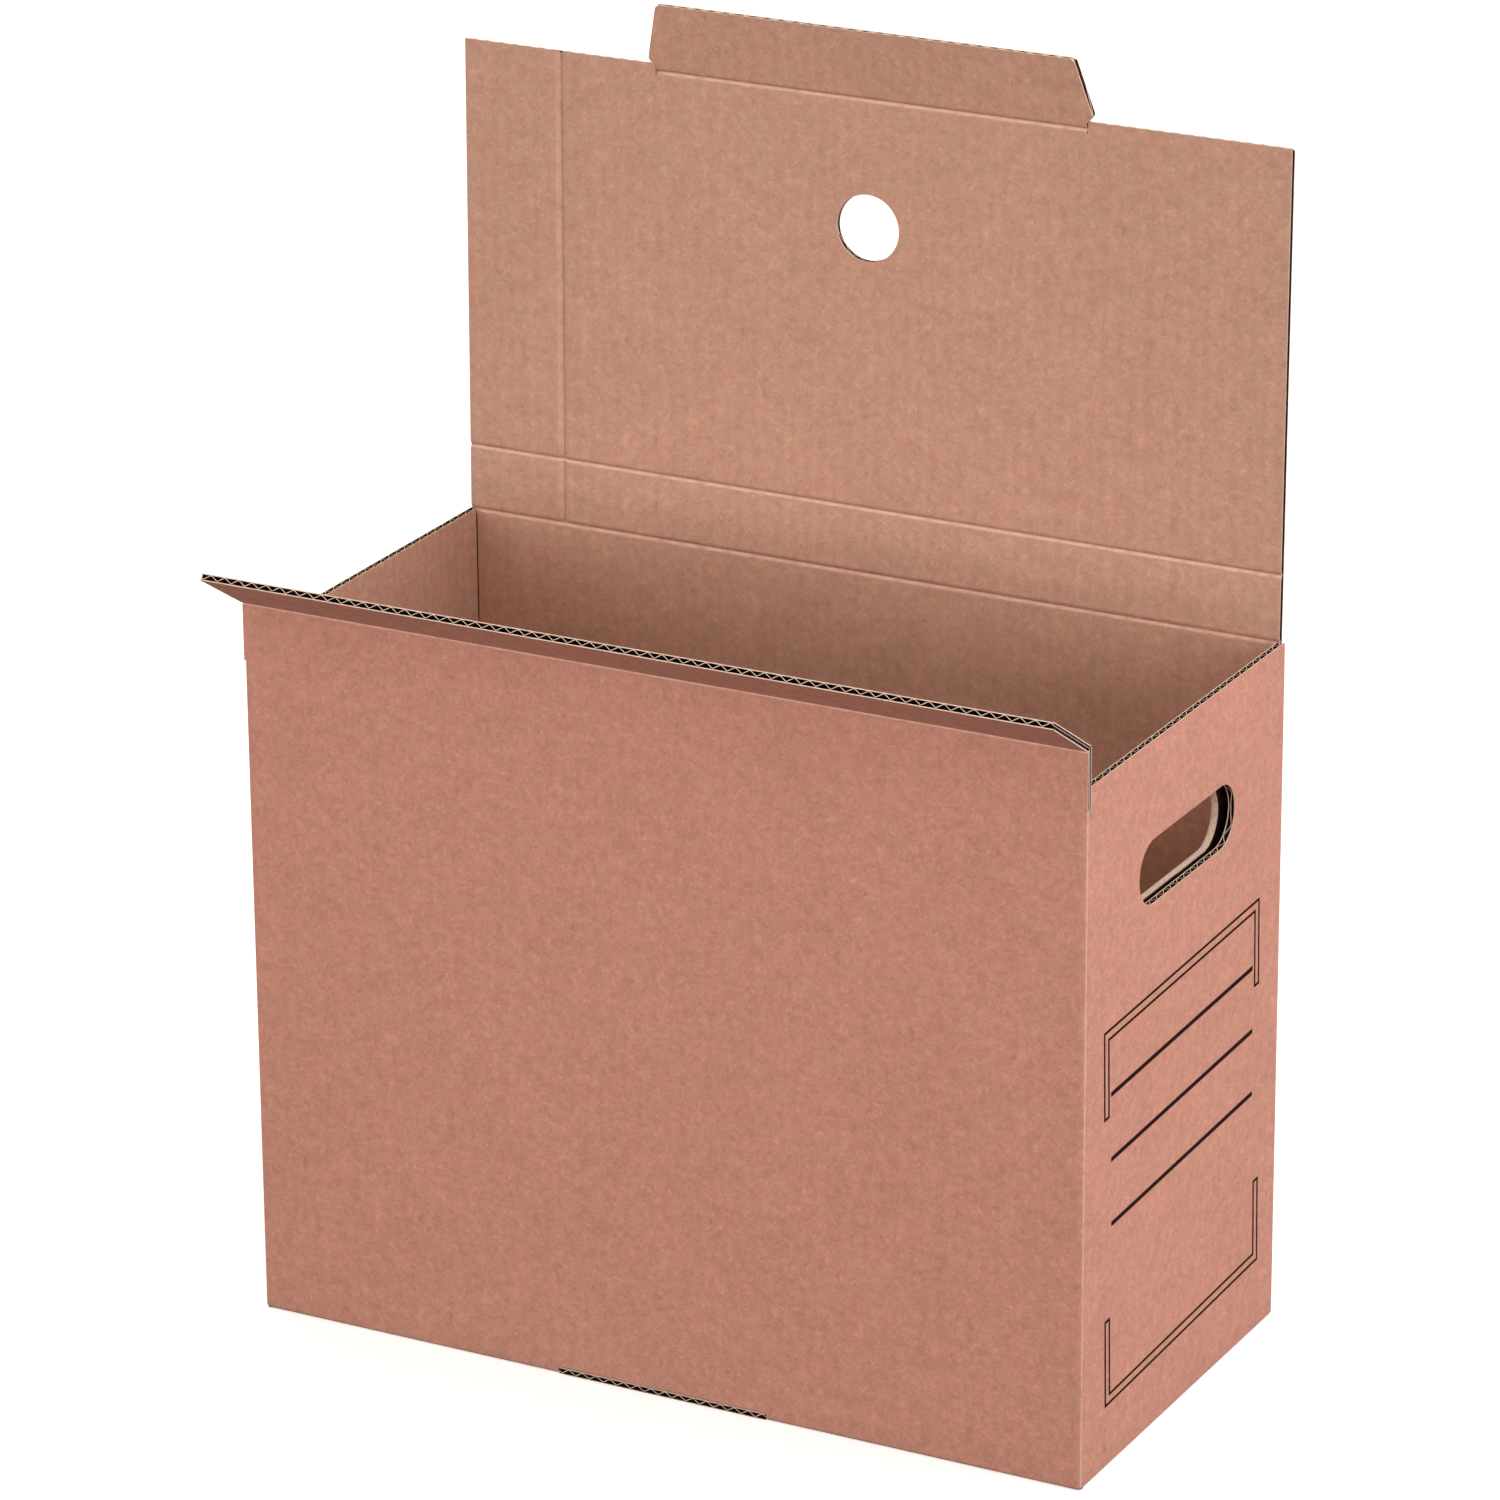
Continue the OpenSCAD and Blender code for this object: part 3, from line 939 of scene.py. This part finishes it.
# %% Flap
FLAP_LEN = 38 * MM
SEAL_IN = 0.5 * MM
flap = papers_of("flap", (-HALF_W, HALF_W, TRIM, FLAP_LEN), out=-1, spacing=9 * MM)
keep_flat_map(flap)
seals = [end_seal(side * (HALF_W - SEAL_IN), TRIM + 0.3 * MM, FLAP_LEN - SEAL_IN) for side in (-1, 1)]
lean_over(list(flap) + seals, LEAN_FLAP, "front_flap_fold")
thicken_papers(flap)
front_flap = glue(list(flap) + seals, "front_flap_board")

# %% [markdown]
# ## The lid
# The lid has a finger hole, and a notch along its top edge where the tab grows out of it. The notch is
# cut from the flat papers. The round hole is cut after the papers have their thickness, so that its
# rim shows the pale edge.

# %% Lid
LID_H = 178 * MM
TAB_ROOT = 98.25 * MM
TAB_WIDE = 101.5 * MM
TAB_SLIT = 0.5 * MM
HOLE_R = 14.25 * MM
HOLE_Z = 120.5 * MM
LID_CRUSH, LID_CRUSHED = 1.2 * MM, 0.35

lid = papers_of("lid", (LID_LEFT, LID_RIGHT, TRIM, LID_H), out=1)
emboss(lid)
crush((lid[0], lid[2]), LID_H, LID_CRUSH, LID_CRUSHED, inner=-HALF)
notch_side = TAB_ROOT + TAB_SLIT
for sheet in lid:
    score(sheet, (-notch_side, notch_side), (TAB_CREASE_H - TRIM,))
    middle = centres(sheet)
    cut_out(sheet, (np.abs(middle[:, 0]) < notch_side) & (middle[:, 2] > TAB_CREASE_H - TRIM))
keep_flat_map(lid)
# A painted highlight on the gentle slope of the embossed line
painted_highlight_band(lid[1])
lean_over(lid, LEAN_LID, "lid_panel_fold")
thicken_papers(lid)
lean = math.radians(LEAN_LID)
hole_at = crease_at["lid_panel_fold"] + Vector((0, -math.sin(lean), math.cos(lean))) * HOLE_Z
bpy.ops.mesh.primitive_cylinder_add(vertices=72, radius=HOLE_R, depth=20 * MM, location=hole_at,
                                    rotation=(math.pi / 2 + lean, 0, 0))
cut_away(lid, as_cutter(bpy.context.object, "finger_hole"))
lid_board = glue(list(lid), "lid_board")

# %% [markdown]
# ## The tab
# The tab flares out from its root, tapers to its tip and has rounded tips. It starts as a rectangle,
# and slanting cuts take its corners off: one for the flare, one for the long side, and a few more
# round each tip.

# %% Rounding the tab's corners
TAB_LEN = 31 * MM
TAB_TIP = 95 * MM
TAB_R = 3 * MM
FLARE_START, FLARE_END = 2.5 * MM, 5.5 * MM
TAB_CRUSH, TAB_CRUSHED = 1.0 * MM, 0.6

side_lean = math.degrees(math.atan2(TAB_WIDE - TAB_TIP, TAB_LEN - FLARE_END))


def round_corner(corner, first, last, radius, steps=5):
    """Cuts that round the corner between two sides, given by the way that they face, in degrees"""
    half_turn = math.radians(last - first) / 2
    bisector = math.radians(first + last) / 2
    reach = radius / math.cos(half_turn)
    middle = (corner[0] - reach * math.cos(bisector), corner[1] - reach * math.sin(bisector))
    made = []
    for step in range(1, steps):
        angle = first + (last - first) * step / steps
        a = math.radians(angle)
        made.append(((middle[0] + radius * math.cos(a), middle[1] + radius * math.sin(a)), angle))
    return made


print(f"the tab's sides lean in by {side_lean:.1f} degrees")

# %% [markdown]
# ## Cutting the tab
# Every cut is made in all three papers, on both sides.

# %% Tab
tab = papers_of("tab", (-TAB_WIDE, TAB_WIDE, TRIM, TAB_LEN), out=1, spacing=8 * MM)
cuts = [((TAB_ROOT, FLARE_START), -45), ((TAB_WIDE, FLARE_END), side_lean)]
cuts += round_corner((TAB_TIP, TAB_LEN), side_lean, 90, TAB_R)
cuts += round_corner((TAB_WIDE, FLARE_END), -45, side_lean, TAB_R)
for sheet in tab:
    for (x, z), angle in cuts:
        across, upward = math.cos(math.radians(angle)), math.sin(math.radians(angle))
        for side in (-1, 1):
            trim_off(sheet, (side * x, 0, z), (side * across, 0, upward))
crush((tab[0], tab[2]), TAB_LEN, TAB_CRUSH, TAB_CRUSHED, inner=-HALF)
keep_flat_map(tab)
lean_over(tab, LEAN_TAB, "tab_fold")
thicken_papers(tab)
tab_board = glue(tab, "tab_board")

# %% [markdown]
# ## The creases
# Between two panels the board bends. Each crease is a short board, 2 mm to either side of its line. Its
# groove is pressed while it is flat, and then its rows are turned one by one, a little more each time,
# so that its lower edge stands like the panel below and its upper edge like the panel above.

# %% How a crease bends
BEND_REACH = 1.2 * MM
ROW = 0.05 * MM
# Just below each crease's line the paper is marked pale: partly broken fibres, partly a painted highlight
WEAR_AND_HIGHLIGHT_AT, WEAR_AND_HIGHLIGHT_HALF = -0.75 * MM, 0.4 * MM
OUTWARD = {-2.0: 1.0, -1.0: 0.96, 0.0: 0.90, 1.0: 0.96, 2.0: 1.0}


def ease(share):
    """Turns a steady share into one that starts and stops softly"""
    share = min(max(share, 0.0), 1.0)
    return share * share * (3 - 2 * share)


def along(degrees):
    """The direction up a panel that leans by so many degrees"""
    return Vector((0, -math.sin(math.radians(degrees)), math.cos(math.radians(degrees))))


def crease_piece(name, joint, span, leans, out, embossed=False, groove=GROOVE, reach=BEND_REACH):
    """A bending strip of board at a joint, from the lean below to the lean above"""
    papers = papers_of(name, (span[0], span[1], -TRIM, TRIM), out=out, rows=8)
    if embossed:
        emboss(papers, within=(TINY if joint == "lid_fold" else -9, 9))
    press(papers, 0, out, rows=groove)
    # Pale line just below the crease: broken fibres and a painted highlight
    wear_and_highlight_side = papers[1] if out > 0 else papers[0]
    mark_wear_and_highlight(wear_and_highlight_side, np.abs(places(wear_and_highlight_side)[:, 2] - WEAR_AND_HIGHLIGHT_AT) < WEAR_AND_HIGHLIGHT_HALF)
    keep_flat_map(papers)
    below, above = leans
    for sheet in papers:
        rows = np.round(places(sheet)[:, 2] / ROW).astype(int)
        for row in np.unique(rows):
            share = ease((row * ROW + reach) / (2 * reach))
            with editing(sheet, rows == row):
                turn(below + share * (above - below), "X", (0, 0, 0))
    lean_over(papers, 0, joint)
    thicken_papers(papers)
    piece = glue(papers, name)
    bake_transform(piece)
    return piece


print("a crease bends within", BEND_REACH / MM, "mm of its line")

# %% [markdown]
# ## The four creases
# The three creases of the lid have the deep groove. The flap's has a shallow one and bends more widely.

# %% Creases
lid_span = (LID_LEFT, LID_RIGHT)
creases = [
    crease_piece("lower_lid_crease", "lid_fold", lid_span, (0, LEAN_STRIP), 1,
                 embossed=True),
    crease_piece("upper_lid_crease", "lid_panel_fold", lid_span, (LEAN_STRIP, LEAN_LID), 1,
                 embossed=True),
    crease_piece("tab_crease", "tab_fold", (-TAB_ROOT, TAB_ROOT), (LEAN_LID, LEAN_TAB), 1),
    crease_piece("flap_crease", "front_flap_fold", (-HALF_W, HALF_W), (0, LEAN_FLAP), -1,
                 groove=OUTWARD, reach=2 * MM),
]

# %% [markdown]
# ## The print
# The writing field is stamped on the right wall: two brackets drawn in thin outline, one open below and
# one open above, and three thicker lines to write on. Each bar is a flat ribbon that lies a few
# hundredths of a millimetre in front of the liner, which is as thick as ink ever is. The stamp sits a
# little askew, as it does on the real box.

# %% Bars and brackets
field_low, field_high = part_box("label_print")
BAND, THIN, UPRIGHT, WRITING = 3.85 * MM, 1.25 * MM, 1.4 * MM, 2.15 * MM
LEG = 38.5 * MM
INK_X = HALF_W + 0.03 * MM
ASKEW = 1.7
LIFT = 1 * MM
FIRST_LINE, LINE_STEP, LINE_INSET = 29 * MM, 28.25 * MM, 6.5 * MM
LINES = 3


def bar(low_y, high_y, low_z, high_z):
    """One printed bar on the right wall"""
    bpy.ops.mesh.primitive_grid_add(x_subdivisions=10, y_subdivisions=10, size=1)
    piece = bpy.context.object
    piece.scale = (high_z - low_z, high_y - low_y, 1)
    settle(piece, (0, math.pi / 2, 0), (INK_X, (low_y + high_y) / 2, (low_z + high_z) / 2))
    piece.data.materials.append(ink)
    return piece


def bracket(line_z, upward):
    """A bracket drawn as an outline: its long side is at line_z and its two legs point up or down"""
    right_y = field_high.y
    made = []

    def drawn(y1, y2, rise_1, rise_2):
        z1, z2 = line_z + upward * rise_1, line_z + upward * rise_2
        made.append(bar(min(y1, y2), max(y1, y2), min(z1, z2), max(z1, z2)))

    drawn(-right_y, right_y, 0, THIN)
    drawn(-right_y + BAND, right_y - BAND, BAND, BAND + THIN)
    for side in (-1, 1):
        drawn(side * right_y, side * (right_y - UPRIGHT), THIN, LEG)
        drawn(side * (right_y - BAND), side * (right_y - BAND - UPRIGHT), BAND + THIN, LEG)
        drawn(side * (right_y - UPRIGHT), side * (right_y - BAND), LEG - THIN, LEG)
    return made


print("a bracket has two long lines, four upright ones and two ends")

# %% [markdown]
# ## Stamping the field
# Two brackets and three lines become one piece, which is then turned and raised a little.

# %% Writing field
bars = bracket(field_low.z, 1) + bracket(field_high.z, -1)
for line in range(LINES):
    z = field_high.z - FIRST_LINE - line * LINE_STEP
    left_y, right_y = field_low.y + LINE_INSET, field_high.y - LINE_INSET
    bars.append(bar(left_y, right_y, z - WRITING / 2, z + WRITING / 2))
printed_field = join(bars, "printed_field")
with editing(printed_field):
    turn(ASKEW, "X", (INK_X, 0, (field_low.z + field_high.z) / 2))
    bpy.ops.transform.translate(value=(0, 0, LIFT))
print("bars in the printed field:", len(bars))

# %% [markdown]
# ## Attaching the pieces
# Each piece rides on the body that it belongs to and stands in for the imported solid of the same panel.

# %% Attach
for piece in (box_walls, inner_panel, box_bottom, printed_field):
    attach(piece, "box")
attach(lid_strip, "strip")
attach(lid_board, "lid")
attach(tab_board, "tab")
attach(front_flap, "flap")
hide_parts("box_body")
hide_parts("lid_strip")
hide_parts("lid_panel")
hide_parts("lid_tab")
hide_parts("front_flap")
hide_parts("label_print")
print("solids that have a dressed piece: 6")

# %% [markdown]
# ## The floor
# The box stands on a white floor that keeps its shadow. To the camera and to reflections the floor is
# white. To soft light it is darker, or it would throw too much light up at the walls.

# %% Floor
FLOOR_SIZE = 60
FLOOR_DARK, FLOOR_PALE = (0.04, 0.022, 0.014, 1), (0.88, 0.88, 0.88, 1)
BLACK, WHITE = (0, 0, 0, 1), (1, 1, 1, 1)
FLOOR_GLOW = 0.5

bpy.ops.mesh.primitive_plane_add(size=FLOOR_SIZE, location=(0, 0, 0))
floor = bpy.context.object
floor.name = "floor"
shader = Shader("floor_white")
seen = shader.ray_is("Is Camera Ray", "Is Glossy Ray")
colour = shader.blend_colours(seen, FLOOR_DARK, FLOOR_PALE)
glow = {"Emission Color": shader.blend_colours(seen, BLACK, WHITE), "Emission Strength": FLOOR_GLOW}
floor.data.materials.append(shader.matt(colour, 1.0, 0.0, glow))
floor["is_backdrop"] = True
print("the floor is", FLOOR_SIZE, "m wide")

# %% [markdown]
# ## Light
# The photograph was lit softly and from low down: the right wall is the brightest, the front a little
# darker, the flap throws no shadow on the front, and every wall is brighter at its top than at its
# foot. The world gives most of the light. It is brighter near the horizon, where it reaches under the
# flap, than overhead, where it falls into the box. Three soft lamps add the rest. Each has a grid, which
# holds its light to a cone, and the cone is aimed above the middle of the box, so that the foot gets
# less of it. To the camera the world is plain white.

# %% Lamps
AIM_AT = Vector((0, 0, 0.25))
RAISED = Vector((0, 0, 0.20))
LAMP_DISTANCE = 3.0


def lamp(name, azimuth, elevation, level, size, reach, colour):
    """A soft lamp: level is how bright it makes white paper, reach is the cone's radius at the box"""
    a, e = math.radians(azimuth), math.radians(elevation)
    slope = reach / LAMP_DISTANCE
    data = bpy.data.lights.new(name, "AREA")
    data.spread = 2 * math.atan(slope)
    data.energy = level * (math.pi * LAMP_DISTANCE) ** 2 * (1 - math.atan(slope) / slope)
    data.color = colour
    data.shape = "RECTANGLE"
    data.size, data.size_y = size
    made = bpy.data.objects.new(name, data)
    bpy.context.scene.collection.objects.link(made)
    toward = Vector((math.sin(a) * math.cos(e), -math.cos(a) * math.cos(e), math.sin(e))) * LAMP_DISTANCE
    made.location = AIM_AT + toward
    made.rotation_euler = (RAISED - toward).to_track_quat("-Z", "Y").to_euler()
    return made


lamps = [
    lamp("front_lamp", 0, 8, 0.15, (0.8, 0.12), 0.7, (1, 1.0, 0.9)),
    lamp("side_lamp", 65, 1.5, 0.12, (0.8, 0.12), 1.2, (1, 0.9, 1.1)),
    lamp("right_lamp", 104, 36, 0.56, (1.2, 1.2), 1.2, (0.96, 1.0, 1.08)),
]
print("lamps:", [made.name for made in lamps])

# %% [markdown]
# ## The world
# The sky's light depends on its height: bright near the horizon, darker overhead.

# %% World
LOW_SKY = [2.24 * share for share in (1, 0.98, 0.955)] + [1]
HIGH_SKY = [0.71 * share for share in (1, 0.97, 0.88)] + [1]
LOW_END, HIGH_START = 0.32, 0.38

world = bpy.data.worlds.new("pale_world")
bpy.context.scene.world = world
world.use_nodes = True
sky = Shader("pale_world", world.node_tree)
seen = sky.ray_is("Is Camera Ray", "Is Glossy Ray", "Is Transmission Ray")
direction = sky.node("ShaderNodeTexCoord")
height = sky.node("ShaderNodeSeparateXYZ", {}, {0: direction}, output=2)
tone = sky.blend_colours(sky.stretched(height, LOW_END, HIGH_START), LOW_SKY, HIGH_SKY)
background = sky.node("ShaderNodeBackground", {}, {
    "Color": sky.blend_colours(seen, tone, WHITE), "Strength": 1.0})
sky.node("ShaderNodeOutputWorld", {}, {"Surface": background})
print(f"the sky's light: {LOW_SKY[0]:.2f} near the horizon, {HIGH_SKY[0]:.2f} overhead")
bpy.context.scene.view_settings.view_transform = "Standard"

# %% [markdown]
# ## The size of the dressed box
# The dressed box must stay within the solids, so both sizes are printed.

# %% Size of the dressed box
dressed_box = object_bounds()
sizes = {"solids": [list(corner) for corner in cad_box], "dressed": [list(corner) for corner in dressed_box]}
for name, (low, high) in sizes.items():
    print(name, [round(v / MM, 2) for v in low], [round(v / MM, 2) for v in high])
